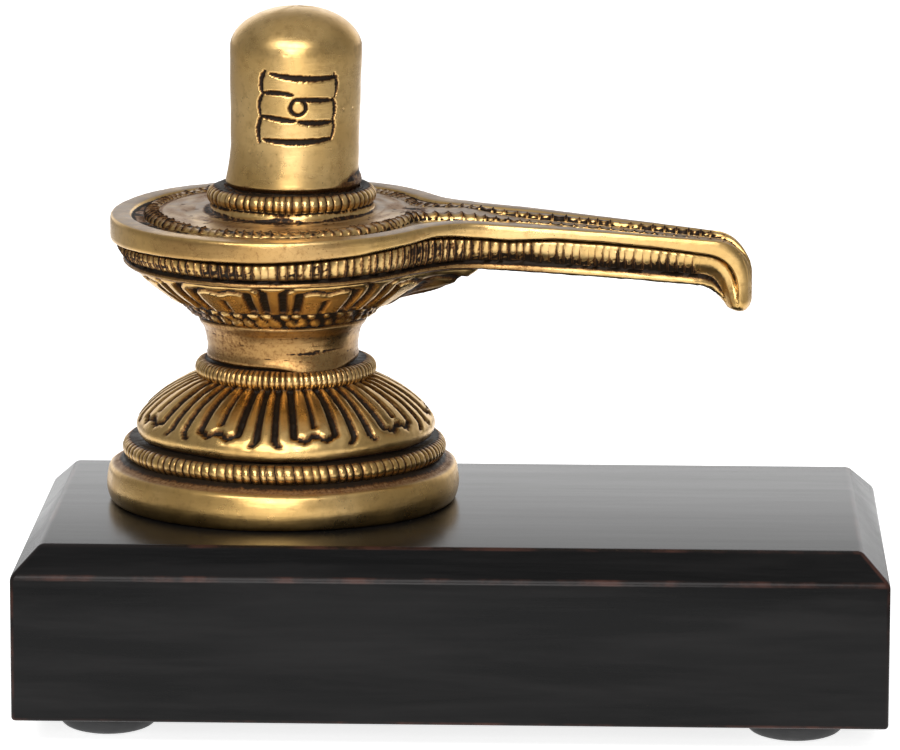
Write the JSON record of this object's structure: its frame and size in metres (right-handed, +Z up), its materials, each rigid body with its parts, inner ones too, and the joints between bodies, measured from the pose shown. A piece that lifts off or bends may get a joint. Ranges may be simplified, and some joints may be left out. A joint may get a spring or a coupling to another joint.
{
  "type": "shiva lingam statuette",
  "caption": "Small cast brass shiva lingam with a ringed, petalled pedestal and a beaked yoni spout, on a black chamfered wooden plinth with rubber feet.",
  "frame": {"origin": "on the ground under the middle of the wooden plinth", "axes": "+Z up, +X along the plinth towards the spout, front facing -Y"},
  "size_m": [0.115, 0.062, 0.0935],
  "materials": {
    "brass": "antique satin with dark patina in the recesses",
    "wood": "black stained, satin",
    "rubber": "matte black"
  },
  "bodies": {
    "root": {"brass_shiva_lingam": "brass", "wooden_plinth": "wood", "rubber_foot_front_left": "rubber", "rubber_foot_front_right": "rubber", "rubber_foot_back_left": "rubber", "rubber_foot_back_right": "rubber"}
  },
  "joints": []
}
